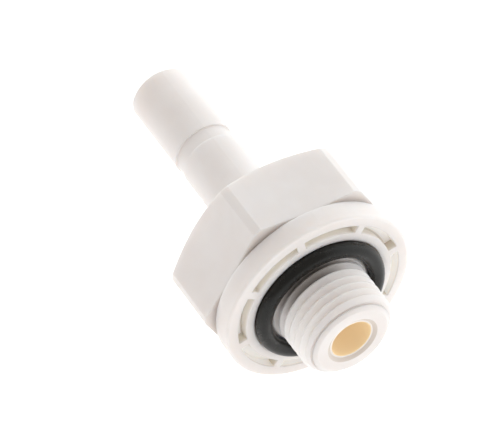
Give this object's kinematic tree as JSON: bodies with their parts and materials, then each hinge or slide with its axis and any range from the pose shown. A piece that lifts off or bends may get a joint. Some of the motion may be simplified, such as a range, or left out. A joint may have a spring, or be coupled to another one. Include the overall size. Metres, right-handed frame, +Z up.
{
  "type": "stem adaptor fitting",
  "caption": "Moulded plastic stem adaptor: plain push-in stem, hexagon, cored round sealing flange with rubber O-ring, and a short male pipe thread, with a through bore.",
  "frame": {"origin": "centre of the flange's sealing face, on the axis of the through bore", "axes": "+X along the axis, out of the male thread's end; the stem points -X; +Z up, with one hexagon flat facing -Z so that the fitting can lie on it"},
  "size_m": [0.0368, 0.0214, 0.0198],
  "materials": {
    "moulded_plastic": "natural white acetal, fine satin mould finish, warm and slightly translucent inside the bore",
    "seal_rubber": "black nitrile, satin"
  },
  "bodies": {
    "fitting": {"fitting_body": "moulded_plastic"},
    "seal": {"o_ring": "seal_rubber"}
  },
  "joints": [
    {"name": "ring_off", "type": "slide", "parent": "fitting", "child": "seal", "axis": [1, 0, 0], "range_m": [0, 0.008]}
  ]
}
